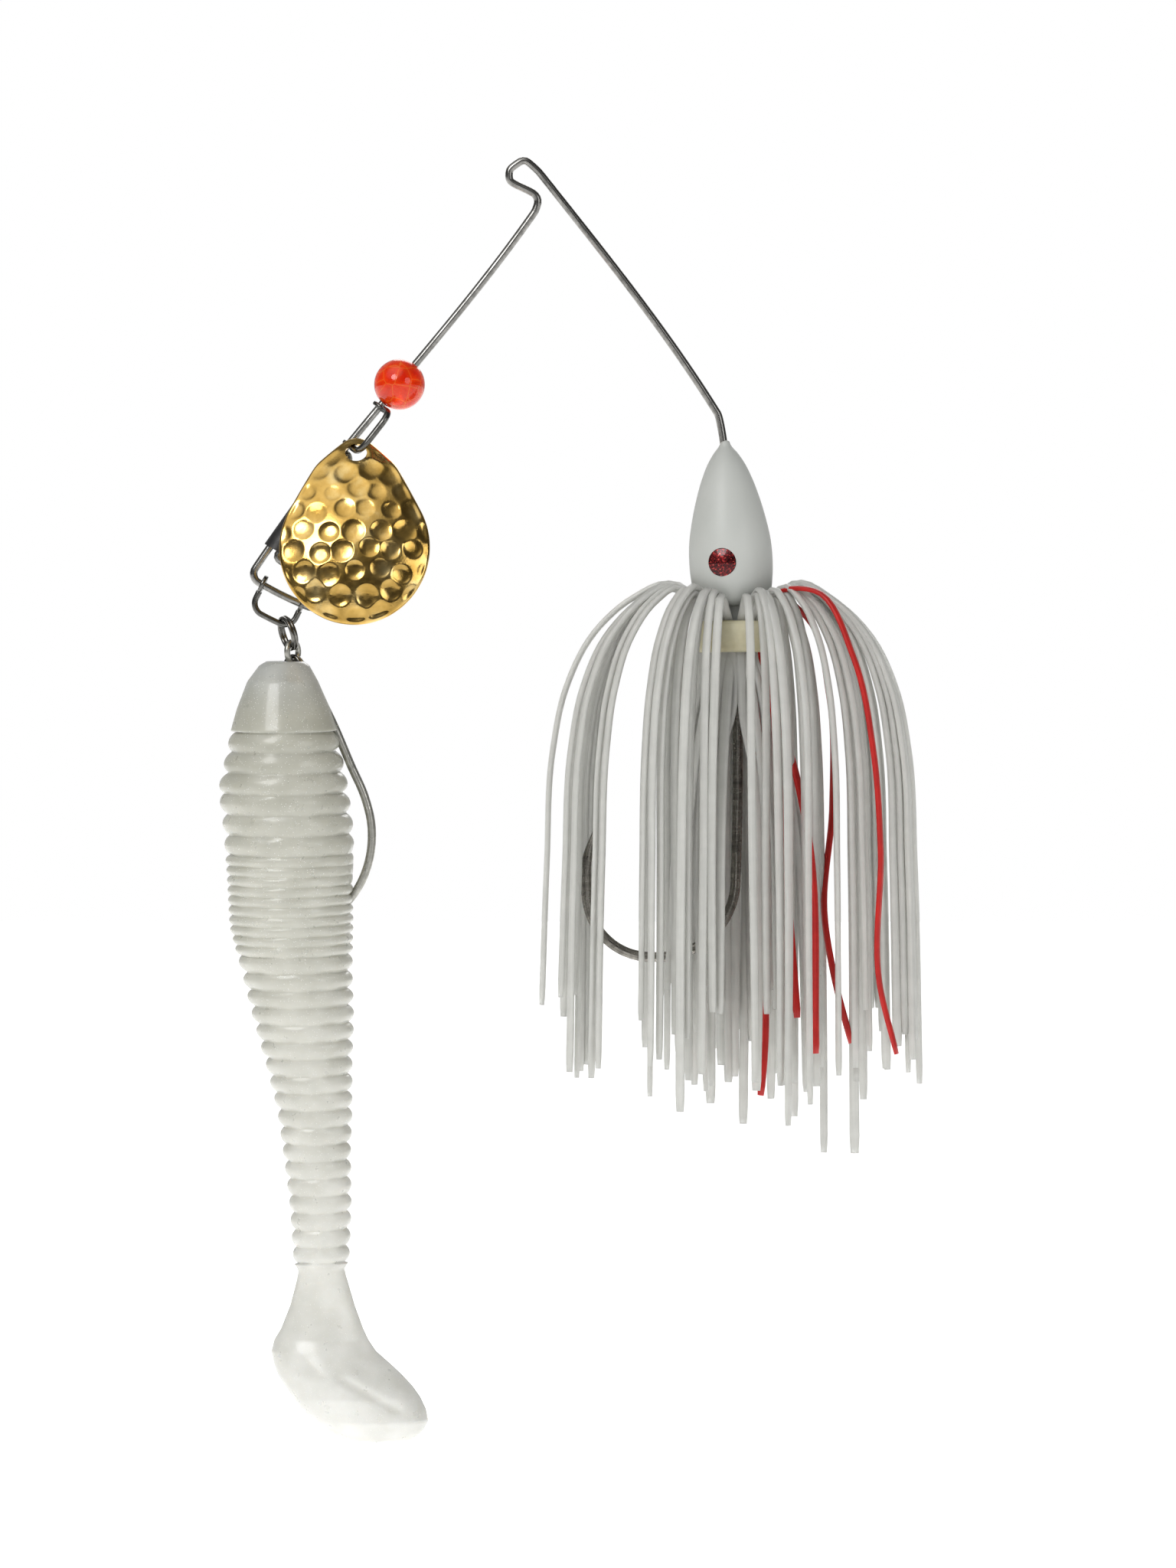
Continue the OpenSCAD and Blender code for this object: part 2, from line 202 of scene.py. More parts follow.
class Look:
    """A node material with a Principled shader and short ways to add texture nodes."""

    def __init__(self, name, coords="Object"):
        self.material = bpy.data.materials.new(name)
        self.material.use_nodes = True
        self.nodes = self.material.node_tree.nodes
        self.links = self.material.node_tree.links
        self.shader = self.nodes["Principled BSDF"]
        self.where = self.nodes.new("ShaderNodeTexCoord").outputs[coords]

    def set(self, **values):
        for key, value in values.items():
            self.shader.inputs[key.replace("_", " ")].default_value = value

    def wire(self, output, socket):
        self.links.new(output, self.shader.inputs[socket])

    def stretched(self, scale):
        node = self.nodes.new("ShaderNodeMapping")
        node.inputs["Scale"].default_value = scale
        self.links.new(self.where, node.inputs["Vector"])
        return node.outputs["Vector"]

    def noise(self, scale, detail=3.0, vector=None):
        node = self.nodes.new("ShaderNodeTexNoise")
        node.inputs["Scale"].default_value = scale
        node.inputs["Detail"].default_value = detail
        self.links.new(vector or self.where, node.inputs["Vector"])
        return node.outputs["Fac"]

    def cells(self, scale, output="Distance", feature="F1", vector=None):
        node = self.nodes.new("ShaderNodeTexVoronoi")
        node.feature = feature
        node.inputs["Scale"].default_value = scale
        self.links.new(vector or self.where, node.inputs["Vector"])
        return node.outputs[output]

    def ramp(self, value, *stops):
        """stops are (place, colour or grey level)."""
        node = self.nodes.new("ShaderNodeValToRGB")
        while len(node.color_ramp.elements) < len(stops):
            node.color_ramp.elements.new(0.5)
        for element, (place, level) in zip(node.color_ramp.elements, stops):
            element.position = place
            element.color = (*level, 1) if isinstance(level, tuple) else (level, level, level, 1)
        self.links.new(value, node.inputs["Fac"])
        return node.outputs["Color"]

    def mix(self, factor, a, b, kind="MIX"):
        node = self.nodes.new("ShaderNodeMix")
        node.data_type, node.blend_type = "RGBA", kind
        for socket, value in zip(("Factor", "A", "B"), (factor, a, b)):
            target = [s for s in node.inputs if s.name == socket and s.enabled][0]
            if isinstance(value, bpy.types.NodeSocket):
                self.links.new(value, target)
            else:
                target.default_value = value if socket == "Factor" else (*value, 1)
        return [s for s in node.outputs if s.enabled][0]

    def height(self):
        """The object's height in metres, as a value."""
        node = self.nodes.new("ShaderNodeSeparateXYZ")
        self.links.new(self.where, node.inputs["Vector"])
        return node.outputs["Z"]

    def span(self, value, low, high):
        node = self.nodes.new("ShaderNodeMapRange")
        node.inputs["From Min"].default_value = low
        node.inputs["From Max"].default_value = high
        self.links.new(value, node.inputs["Value"])
        return node.outputs["Result"]

    def bump(self, value, strength, distance):
        node = self.nodes.new("ShaderNodeBump")
        node.inputs["Strength"].default_value = strength
        node.inputs["Distance"].default_value = distance
        self.links.new(value, node.inputs["Height"])
        self.wire(node.outputs["Normal"], "Normal")


def drawn_metal(name, dark, light, rough_low, rough_high, grain=1.0):
    """Bare or plated wire, with faint drawing lines along its length and small stains."""
    look = Look(name, "UV")
    lines = look.noise(1.0, 4, look.stretched((0.25, 26, 1)))
    stains = look.noise(1.3, 5)
    look.wire(look.ramp(look.mix(0.45, lines, stains), (0.3, dark), (0.68, light)), "Base Color")
    look.wire(look.ramp(stains, (0.32, rough_high), (0.66, rough_low)), "Roughness")
    look.bump(lines, 0.25 * grain, 0.00002)
    look.set(Metallic=1.0)
    return look.material


def plain_metal(name, dark, light, rough_low, rough_high):
    """Metal for solids without an unrolled length, mottled in space."""
    look = Look(name)
    mottle = look.noise(900, 5)
    look.wire(look.ramp(mottle, (0.32, dark), (0.66, light)), "Base Color")
    look.wire(look.ramp(mottle, (0.3, rough_high), (0.7, rough_low)), "Roughness")
    look.bump(look.noise(5200, 3), 0.2, 0.00003)
    look.set(Metallic=1.0)
    return look.material


def white_paint():
    """Powder paint on lead: a satin skin with faint orange peel, darker grey towards its lower edge and over
    the keeper, a painted shade where the collar and strands cover it.
    """
    look = Look("white_paint")
    cloud = look.noise(160, 4)
    # painted shade: darker towards the head's lower edge and over the keeper, under the collar and strands
    edge = look.span(look.height(), -0.0534, -0.0500)
    low = look.ramp(edge, (0.0, (0.36, 0.37, 0.35)), (1.0, (0.54, 0.555, 0.53)))
    clouded = look.ramp(cloud, (0.3, (0.50, 0.515, 0.49)), (0.7, (0.58, 0.59, 0.565)))
    look.wire(look.mix(0.4, low, clouded), "Base Color")
    look.wire(look.ramp(look.noise(1100, 3), (0.3, 0.42), (0.7, 0.55)), "Roughness")
    look.bump(look.noise(1500, 2), 0.15, 0.00006)
    look.set(Coat_Weight=0.15, Coat_Roughness=0.3)
    return look.material


def eye_glitter():
    """Red foil flakes of many tilts under clear lacquer, their base colour running from near black to bright
    red: painted shade and painted glints for the tilts.
    """
    look = Look("eye_glitter")
    flake = look.cells(6000, "Color")
    tone = look.nodes.new("ShaderNodeSeparateColor")
    look.links.new(flake, tone.inputs["Color"])
    # painted shade and painted highlights: dark and bright flakes in the base colour stand for how each
    # tilted flake catches the light
    look.wire(
        look.ramp(tone.outputs["Red"], (0.0, (0.02, 0.002, 0.003)), (0.6, (0.11, 0.003, 0.006)),
                  (0.86, (0.30, 0.01, 0.014)), (1.0, (0.7, 0.10, 0.08))), "Base Color")
    look.wire(look.ramp(tone.outputs["Green"], (0.0, 0.18), (1.0, 0.5)), "Roughness")
    look.bump(tone.outputs["Blue"], 0.8, 0.0001)
    look.set(Metallic=0.8, Coat_Weight=0.6, Coat_Roughness=0.08)
    return look.material


def collar_rubber():
    """Aged cream latex, a little see-through at its edges."""
    look = Look("collar_rubber")
    cloud = look.noise(420, 5)
    look.wire(look.ramp(cloud, (0.3, (0.56, 0.51, 0.33)), (0.7, (0.72, 0.68, 0.50))), "Base Color")
    look.wire(look.ramp(cloud, (0.3, 0.55), (0.7, 0.38)), "Roughness")
    look.bump(look.noise(2600, 4), 0.3, 0.00008)
    look.set(Subsurface_Weight=0.25, Subsurface_Radius=(0.0012, 0.0009, 0.0005), Subsurface_Scale=1.0)
    return look.material


def silicone(name, dark, light, see_through):
    """Cut silicone strand: milky, with fine moulding lines along it and small glints."""
    look = Look(name, "UV")
    lines = look.noise(1.0, 3, look.stretched((0.12, 18, 1)))
    cloud = look.noise(0.35, 4)
    look.wire(look.ramp(look.mix(0.5, lines, cloud), (0.32, dark), (0.66, light)), "Base Color")
    look.wire(look.ramp(cloud, (0.3, 0.46), (0.7, 0.3)), "Roughness")
    look.bump(look.mix(0.3, lines, look.noise(3.0, 4)), 0.2, 0.00003)
    look.set(Transmission_Weight=see_through, IOR=1.41, Specular_IOR_Level=0.6)
    return look.material


def hammered_gold():
    """Gold plate in lighter and browner clouds, with fine polishing marks."""
    look = Look("hammered_gold")
    cloud = look.noise(330, 5)
    gold = look.ramp(cloud, (0.28, (0.46, 0.27, 0.055)), (0.52, (0.70, 0.45, 0.13)),
                     (0.75, (0.92, 0.70, 0.32)))
    look.wire(gold, "Base Color")
    look.wire(look.ramp(look.noise(1400, 4), (0.3, 0.10), (0.7, 0.22)), "Roughness")
    look.bump(look.noise(6000, 4), 0.18, 0.00003)
    look.set(Metallic=1.0)
    return look.material


def crackle_bead():
    """Transparent red plastic with a net of fine cracks inside, painted as lighter orange lines where they
    would catch the light: a painted highlight.
    """
    look = Look("crackle_bead")
    cracks = look.cells(620, "Distance", "DISTANCE_TO_EDGE")
    # painted highlight: lighter orange along the crack lines
    red = look.ramp(cracks, (0.0, (1.0, 0.22, 0.03)), (0.03, (1.0, 0.06, 0.004)),
                    (0.4, (0.86, 0.022, 0.002)))
    look.wire(red, "Base Color")
    look.wire(look.ramp(cracks, (0.0, 0.16), (0.1, 0.05)), "Roughness")
    look.bump(look.ramp(cracks, (0.0, 0.0), (0.05, 1.0)), 0.1, 0.00004)
    look.set(Transmission_Weight=0.3, IOR=1.5)
    return look.material


def black_tube():
    """Shrunk black vinyl tube, dusty and slightly ribbed by the wires under it."""
    look = Look("black_tube")
    cloud = look.noise(700, 5)
    look.wire(look.ramp(cloud, (0.3, (0.010, 0.010, 0.011)), (0.75, (0.035, 0.034, 0.034))), "Base Color")
    look.wire(look.ramp(cloud, (0.3, 0.52), (0.7, 0.36)), "Roughness")
    look.bump(look.noise(2400, 4), 0.3, 0.0001)
    return look.material


def pearl_plastic():
    """Soft plastic full of fine glitter: greyer towards the nose and lighter towards the clearer tail, a
    painted glow of the light through it, with a faint painted bluish sheen at the very nose.
    """
    look = Look("pearl_plastic")
    depth = look.span(look.height(), -0.158, -0.060)
    # painted glow and sheen: lighter towards the tail, greyer towards the nose, faintly bluish at the nose
    # tip
    body = look.ramp(depth, (0.0, (0.94, 0.94, 0.91)), (0.35, (0.84, 0.835, 0.78)),
                     (0.72, (0.72, 0.715, 0.64)), (0.93, (0.58, 0.575, 0.50)), (1.0, (0.60, 0.62, 0.61)))
    cloud = look.ramp(look.noise(260, 5), (0.3, (0.84, 0.84, 0.82)), (0.7, (1.0, 1.0, 1.0)))
    speck = look.ramp(look.cells(3000), (0.12, 1.0), (0.2, 0.0))
    tinted = look.mix(1.0, body, cloud, "MULTIPLY")
    look.wire(look.mix(speck, tinted, (0.97, 0.97, 0.93)), "Base Color")
    look.wire(look.ramp(look.noise(800, 4), (0.3, 0.42), (0.7, 0.26)), "Roughness")
    look.bump(look.mix(0.5, look.noise(1900, 4), speck), 0.3, 0.00008)
    look.set(Subsurface_Weight=0.35, Subsurface_Radius=(0.0022, 0.0020, 0.0017), Subsurface_Scale=1.0,
             Transmission_Weight=0.2, IOR=1.44, Coat_Weight=0.4, Coat_Roughness=0.12)
    return look.material


def pale_floor():
    """A pale, glowing sheet with a dimmer band in front of the object."""
    look = Look("pale_floor")
    look.wire(look.ramp(look.noise(3, 2), (0.3, (0.88, 0.88, 0.87)),
                        (0.7, (0.92, 0.92, 0.91))), "Base Color")
    glow = look.nodes.new("ShaderNodeSeparateXYZ")
    look.links.new(look.where, glow.inputs["Vector"])
    band = look.span(glow.outputs["Y"], -2.0, 0.02)
    look.wire(look.ramp(band, (0.0, 0.9), (0.52, 0.35), (0.84, 0.35), (1.0, 0.9)), "Emission Strength")
    look.set(Roughness=0.8, Emission_Color=(1, 1, 1, 1))
    return look.material


# ---------------------------------------------------------------- frame wire and head

ARM_DIR, ARM_SIDE = np.array([-0.617, -0.787]), np.array([0.787, -0.617])
LOOP_DIR = np.array([0.897, -0.443])
WIRE_R = 0.475


def on_arm(s, off=0.0):
    return np.array([-0.45, -6.46]) + ARM_DIR * s + ARM_SIDE * off


def on_loop(s):
    return on_arm(54.8) + LOOP_DIR * s


def frame_wire(steel):
    """One length of wire: cast end, lower arm, line tie, upper arm, open loop and tag."""
    corners = [(27.9, -39.6, 0), (24.2, -39.6, 0.9), (24.9, -34.3, 2), (24.1, -29.4, 2.5),
               (1.8, 0.72, 0.9), (0.0, 2.35, 0.85), (-1.9, 1.0, 0.9), (-1.9, -0.42, 0.85),
               (1.95, -2.35, 1.25), (1.3, -4.23, 1.2), (*on_arm(54.8), 1.2), (*on_loop(9.8), 0.75),
               (-26.0, -50.2, 1.0), (*on_arm(50.8, 1.15), 0.5), (*on_arm(47.5, 1.15), 0)]
    obj = Shell().wire(smooth(rounded(corners), 0.35), WIRE_R).made("frame_wire", steel)
    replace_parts(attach(obj, "frame"), "wire_frame")


def head(paint):
    """The bullet head, painted over the wire at its tip, and the skirt keeper below it."""
    outline = [(0.02, 0), (3.2, 0.05), (4.0, 0.45), (4.7, 1.5), (5.06, 3.4), (5.18, 5.6), (5.08, 7.8),
               (4.6, 10.6), (3.95, 13.2), (3.1, 15.8), (2.2, 17.8), (1.35, 19.1), (0.85, 19.7),
               (0.62, 20.1), (0.52, 20.45), (0.40, 20.5)]
    profile = [(p[0], p[2]) for p in smooth([(r, 0, h) for r, h in outline], 0.28)]
    lean = math.radians(2.9)
    shell = Shell().lathe(profile, (25.9, 0, -53.1), (-math.sin(lean), 0, math.cos(lean)), 96)
    keeper = [(0.3, -60), (2.1, -60), (2.22, -59.85), (2.22, -59.6), (2.1, -59.4), (2.1, -52.6)]
    shell.lathe(keeper, (SHANK_X, 0, 0), sides=48)
    obj = shell.made("painted_head", paint)
    for side in (-1, 1):
        yaw = math.radians(14)
        drill(obj, (25.62, 0, -47.9), (-math.sin(yaw), -side * math.cos(yaw), 0), 1.75, 4.3, 7.3)
    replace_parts(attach(obj, "frame"), "head_casting")


def main_hook(nickel):
    """The shank and round bend in one wire, its point cut to a slim cone, with a barb."""
    bend = rounded([(SHANK_X, -41.1, 0), (SHANK_X, -96.7, 9.6), (7.5, -96.7, 8), (7.8, -84.5, 0)], 14)
    path = smooth([*bend, (8.05, 0, -83.2), (8.45, 0, -81.8), (8.9, 0, -80.2)], 0.4)
    left = np.linalg.norm(path[::-1] - path[-1], axis=1)[::-1]
    radius = np.clip(0.05 + left * 0.135, 0.05, 0.63)
    shell = Shell().wire(path, radius, 24)
    barb = smooth([(7.95, 0, -83.4), (8.45, 0, -83.8), (9.05, 0, -84.8)], 0.1)
    shell.wire(barb, np.linspace(0.42, 0.05, len(barb)), 14)
    obj = shell.made("nickel_hook", nickel)
    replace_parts(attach(obj, "frame"), "main_hook")


def collar(rubber):
    """The rubber band that grips the strands, pressed a little uneven by them."""
    corner = [(4.15 + 0.6 * math.sin(a), 1.35 + 0.6 * math.cos(a)) for a in np.linspace(0, math.pi / 2, 6)]
    side = [(4.75 + 0.05 * math.cos(h), h) for h in np.linspace(0.9, -0.9, 5)]
    lower = [(r, -h) for r, h in corner[::-1]]
    profile = [(3.5, 0), (3.5, 1.85), *corner, *side, *lower, (3.5, -1.85), (3.5, -0.05)]
    obj = Shell().lathe(profile, (SHANK_X, 0, -57), sides=96, lump=0.004).made("collar_band", rubber)
    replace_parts(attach(obj, "frame"), "skirt_collar")


# ---------------------------------------------------------------- skirt

COLLAR_TOP, COLLAR_LOW = -54.6, -59.2
SHANK_GAP = 1.5
UMBRELLA = [(8.3, -50.3), (12.1, -52.0), (16.6, -56.4), (19.8, -63.3), (21.3, -71.0), (22.0, -85.0),
            (22.9, -104.0)]


def strand_rings(path, wide, thick, twist, rng):
    """Rings of a flat strand. It lies flat to its fall near the collar and turns slowly on the way down."""
    p = smooth(path, 1.1)
    n = len(p)
    tip_x, tip_y = p[-1][0] - SHANK_X, p[-1][1]
    out = unit((tip_x, tip_y, 0) if np.hypot(tip_x, tip_y) > 0.1 else (0, -1, 0))
    across = np.cross((0, 0, 1), out)
    phase, wave = rng.uniform(0, 6.28), rng.uniform(0.05, 0.22)
    rings = []
    for i in range(n):
        f = i / (n - 1)
        t = unit(p[min(i + 1, n - 1)] - p[max(i - 1, 0)])
        side = unit(across - t * (across @ t))
        up = np.cross(t, side)
        a = twist * f * f
        side, up = math.cos(a) * side + math.sin(a) * up, math.cos(a) * up - math.sin(a) * side
        centre = p[i] + across * wave * math.sin(phase + 5 * f) * min(1, 3 * f)
        end = min(1.0, 0.8 + 9 * (1 - f))
        ring = []
        for k in range(10):
            c, s = math.cos(2 * math.pi * k / 10), math.sin(2 * math.pi * k / 10)
            flat_c = math.copysign(abs(c) ** 0.7, c)
            ring.append(centre + (side * flat_c * wide / 2 + up * s * thick / 2) * end)
        rings.append(ring)
    return np.array(rings)


def upper_path(dx, dy, tip_z, layer):
    """From the keeper up over the collar, out in an arch and down to a tip at (dx, dy) from the shank."""
    reach = math.hypot(dx, dy)
    c, s = dx / reach, dy / reach
    scale = max(0.06, (reach - 6.3) / 16.3)
    q = 2.5 + 0.35 * layer
    lift = -1.9 * (1 - min(1, scale * 1.3)) - 0.25 * layer
    flat = [(q, -57.5), (q, COLLAR_TOP - 0.4), (q + 1.1, -53.7 - 0.2 * layer),
            (q + 2.4, -52.4 - 0.2 * layer)]
    for r, z in UMBRELLA[:-1]:
        flat.append((6.3 + (r - 6.3) * scale, z + lift * max(0.0, 1 - (-50 - z) / 30)))
    flat = [p for p in flat if p[1] > tip_z + 4]
    flat.append((reach, tip_z))
    return [(SHANK_X + r * c, r * s, z) for r, z in flat]


def lower_path(dx, dy, tip_z):
    """From under the collar, spreading slowly on the way down."""
    reach = max(0.5, math.hypot(dx, dy))
    c, s = dx / reach, dy / reach
    flat = [(2.7, -57.5), (2.8, COLLAR_LOW), (2.8 + 0.14 * reach, -62.5), (2.6 + 0.38 * reach, -70),
            (1.6 + 0.68 * reach, -82), (0.8 + 0.86 * reach, -96), (reach, tip_z)]
    return [(SHANK_X + r * c, r * s, z) for r, z in flat if z > tip_z + 3 or z == tip_z]


# Tips of the strands that show as single ends: [x, z].
LONE_TIPS = [(15.6, -114.4), (19.2, -115.3), (23.2, -115.3), (27.5, -117.8), (30.8, -114.7),
             (32.4, -117.0), (33.8, -117.0), (35.1, -114.4), (37.4, -121.5), (38.7, -111.0),
             (41.3, -121.5), (42.2, -114.5), (44.6, -110.3), (47.4, -110.8), (49.1, -112.5),
             (6.5, -111.8), (5.6, -110.8), (4.5, -101.7), (2.1, -102.8), (8.2, -109.4), (9.2, -110.3),
             (14.4, -104.3), (15.1, -108.2), (16.5, -109.0), (17.7, -111.0), (20.2, -111.6)]
# Where the other white strands hang: [lowest x, highest x, how many].
BUNDLES = [(4.6, 9.4, 7), (14.6, 17.2, 2), (18.0, 37.2, 24), (40.6, 48.8, 13)]


# Strands that cross in front of the shank just below the collar.
CROSSING = [
    [(25.4, -2.8, -57.5), (25.9, -3.2, -60.5), (25.7, -3.7, -66.0), (23.9, -4.4, -72.0),
     (22.5, -5.0, -90.0), (21.8, -5.4, -111.0)],
    [(26.6, -2.9, -57.5), (26.8, -3.5, -61.0), (27.0, -4.1, -66.5), (28.4, -4.7, -74.0),
     (29.0, -5.2, -92.0), (28.6, -5.6, -113.0)],
]


def upper_strands(rng):
    shell = Shell()
    tips = [(x, z) for x, z in LONE_TIPS]
    for low, high, count in BUNDLES:
        for i in range(count):
            x = low + (high - low) * (i + rng.uniform(0.1, 0.9)) / count
            tips.append((x, rng.uniform(-113, -101)))
    for i, (x, z) in enumerate(tips):
        dx = x - SHANK_X
        room = math.sqrt(max(0.0, 1 - (dx / 24.5) ** 2))
        dy = room * (-rng.uniform(6.0, 12.0) if i % 2 else rng.uniform(7.0, 15.0))
        if abs(dx) > 16:
            dy = rng.uniform(-6, 6)
        if abs(dx) < SHANK_GAP:
            dy = abs(dy)
        path = upper_path(dx, dy, z, i % 3)
        shell.skin(strand_rings(path, rng.uniform(1.05, 1.35), 0.75, rng.uniform(-0.9, 0.9), rng))
    return shell


def lower_strands(rng):
    shell = Shell()
    for i in range(30):
        a = 2 * math.pi * (i + rng.uniform(-0.3, 0.3)) / 30
        reach = rng.uniform(5.5, 10.5)
        dx, dy = reach * math.cos(a) + 1.0, reach * math.sin(a) * 0.9
        if abs(dx) < SHANK_GAP + 0.6:
            dy = abs(dy)
        path = lower_path(dx, dy, rng.uniform(-114, -99))
        shell.skin(strand_rings(path, rng.uniform(1.05, 1.35), 0.75, rng.uniform(-1.0, 1.0), rng))
    for path in CROSSING:
        shell.skin(strand_rings(path, 1.25, 0.7, 0.3, rng))
    return shell


def red_strands(rng):
    """Two that arch over on the right and three that fall from below the collar."""
    arched = [
        [(28.9, -1.2, -56.5), (29.2, -1.6, -54.4), (30.8, -3.0, -51.9), (36.1, -6.2, -51.6),
         (40.5, -8.6, -59.7), (42.9, -9.6, -71.3), (43.7, -10, -83.0), (43.5, -10, -99.6),
         (45.6, -9.6, -108.3)],
        [(28.9, 1.2, -56.5), (29.4, 1.6, -54.4), (32.0, 2.6, -52.4), (35.4, 5.0, -54.6),
         (38.2, 7.5, -64.0), (38.6, 8.6, -78.0), (37.5, 8.2, -91.8), (38.5, 7.6, -98.6),
         (40.8, 7.4, -107.8)],
    ]
    fallen = [
        [(28.6, -1.0, -57.5), (29.3, -1.4, -60.0), (30.4, -3.4, -63.6), (31.3, -6.0, -73.2),
         (32.2, -8.0, -84.9), (33.4, -9.0, -103.9)],
        [(28.8, -0.4, -57.5), (29.8, -0.8, -60.0), (31.2, -2.8, -66.0), (33.2, -6.0, -73.2),
         (34.7, -7.6, -81.0), (35.9, -8.6, -108.3)],
        [(28.4, 1.2, -57.5), (28.8, 1.4, -60.5), (29.2, 2.2, -72.0), (29.6, 1.0, -90.0),
         (29.7, -2.0, -107.4), (29.1, -3.4, -113.7)],
    ]
    shell = Shell()
    for path in arched + fallen:
        shell.skin(strand_rings(path, 1.1, 0.65, rng.uniform(-0.5, 0.5), rng))
    return shell


def skirt(white, red):
    for name, build, material, slot, nodes in (
        ("strands_arched", upper_strands, white, "strand_white", ("skirt_white_front",)),
        ("strands_fallen", lower_strands, white, "strand_white", ("skirt_white_back",)),
        ("strands_red", red_strands, red, "strand_red", ("skirt_red",)),
    ):
        obj = build(random.Random(name)).made(name, material)
        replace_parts(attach(obj, "frame"), *nodes)


# ---------------------------------------------------------------- clevises and blade


def clevis(name, at, along, out, span, depth, bow_r, material):
    """Two drilled eyelets on the wire, joined by a bow. along is the wire's direction."""
    along, out = unit(along), unit(out)
    at = np.array(at, float)
    corners = [(0.95, 0, 0), (depth, 0, 1.5), (depth, span, 1.5), (0.95, span, 0)]
    bow = [at + out * p[0] + along * p[2] for p in rounded(corners, 12)]
    shell = Shell().wire(smooth(bow, 0.25), bow_r, 18, np.cross(along, out))
    for s in (0, span):
        eyelet = [(0.53, -0.17), (0.6, -0.25), (1.1, -0.25), (1.2, -0.14), (1.2, 0.14), (1.1, 0.25),
                  (0.6, 0.25), (0.53, 0.17)]
        rings = []
        for r, h in eyelet:
            a = np.cross(along, out)
            rings.append([at + along * (s + h) + r * (math.cos(t) * out + math.sin(t) * a)
                          for t in np.arange(40) * 2 * math.pi / 40])
        shell.skin(np.array(rings), closed=True)
    return shell.made(name, material)


def blade_clevis(steel):
    along = np.array([ARM_DIR[0], 0, ARM_DIR[1]])
    base = np.array([*on_arm(28.1)])
    turn = math.radians(-110)
    heading = math.atan2(ARM_DIR[1], ARM_DIR[0])
    x_axis = np.array([math.sin(heading), 0, -math.cos(heading)])
    y_axis = np.cross(along, x_axis)
    out = math.cos(turn) * x_axis + math.sin(turn) * y_axis
    obj = clevis("blade_clevis", (base[0], 0, base[1]), along, out, 6.1, 4.5, 0.42, steel)
    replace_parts(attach(obj, "clevis"), "clevis")


def link_clevis(steel):
    along = np.array([LOOP_DIR[0], 0, LOOP_DIR[1]])
    base = on_loop(2.0)
    out = (LOOP_DIR[1], 0, -LOOP_DIR[0])
    obj = clevis("link_clevis", (base[0], 0, base[1]), along, out, 5.5, 3.4, 0.38, steel)
    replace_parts(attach(obj, "trailer_clevis"), "trailer_clevis")


BLADE_AT = np.array([-20.78, -2.95, -34.32])
BLADE_TILT = math.radians(18)
BLADE_LONG = 1 / math.cos(BLADE_TILT)
BLADE_MIDDLE = -12.1
CUP_R, CUP_Z, BLADE_T = 26.0, -11.0, 0.5
DENT_PITCH, DENT_R, DENT_DEEP = 3.0, 1.36, 0.2


def blade_edge(count):
    """The outline of the blade, a hull of three circles, as points round its middle."""
    circles = [(BLADE_MIDDLE, 9.25), (-5.2, 6.0), (0, 2.3)]
    normals = [(math.cos(a), math.sin(a)) for a in np.linspace(0, 2 * math.pi, 361)[:-1]]
    reach = [max((c - BLADE_MIDDLE) * n[1] + r for c, r in circles) for n in normals]
    points = []
    for i in range(count):
        ray = (math.cos(2 * math.pi * i / count), math.sin(2 * math.pi * i / count))
        facing = [(n[0] * ray[0] + n[1] * ray[1], d) for n, d in zip(normals, reach)]
        far = min(d / cosine for cosine, d in facing if cosine > 0.05)
        points.append((ray[0] * far, (BLADE_MIDDLE + ray[1] * far) * BLADE_LONG))
    return points


def dent_centres(rng):
    """Hammer marks in rough rows over the blade, each a little out of place."""
    rows = []
    for j in range(-12, 3):
        for i in range(-4, 5):
            x = (i + 0.5 * (j % 2)) * DENT_PITCH + rng.uniform(-0.42, 0.42)
            z = j * DENT_PITCH * 0.88 - 0.4 + rng.uniform(-0.42, 0.42)
            rows.append((x, z, DENT_R * rng.uniform(0.85, 1.12), rng.uniform(0.7, 1.2)))
    return np.array(rows)


def dented(x, z, dents):
    """How far the hammer pushed the sheet back at a point: a dish with a crisp rim for each mark."""
    d = np.hypot(dents[:, 0] - x, dents[:, 1] - z) / dents[:, 2]
    dish = dents[:, 3] * np.clip(1 - d**2.8, 0, None)
    return DENT_DEEP * float(dish.max())


def blade(gold):
    """A cupped teardrop of hammered sheet, with a drilled hole, tilted as it rests."""
    rng = random.Random("blade")
    dents = dent_centres(rng)
    edge = blade_edge(200)
    middle = np.array([0, BLADE_MIDDLE * BLADE_LONG])
    depth = math.sqrt(CUP_R**2 - CUP_Z**2)
    steps = [*np.linspace(0.02, 0.975, 74), 0.99, 1.0]
    c, s = math.cos(BLADE_TILT), math.sin(BLADE_TILT)
    lean = np.array([[1, 0, 0], [0, c, s], [0, -s, c]])

    def sheet(side):
        rings = []
        for f in steps:
            ring = []
            for p in edge:
                x, z = middle + (np.array(p) - middle) * f
                half = BLADE_T / 2 * (1 if f < 0.98 else 0.85 if f < 0.995 else 0.35)
                y = depth - math.sqrt((CUP_R + side * half) ** 2 - x * x - (z - CUP_Z) ** 2)
                y += dented(x, z, dents) * min(1, (1 - f) * 14)
                ring.append(BLADE_AT + lean @ np.array([x, y, z]))
            rings.append(ring)
        return rings

    rings = [*sheet(1), *reversed(sheet(-1))]
    obj = Shell().skin(np.array(rings)).made("hammered_blade", gold)
    drill(obj, BLADE_AT, lean @ np.array([0, 1, 0]), 1.35)
    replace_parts(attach(obj, "blade"), "blade")


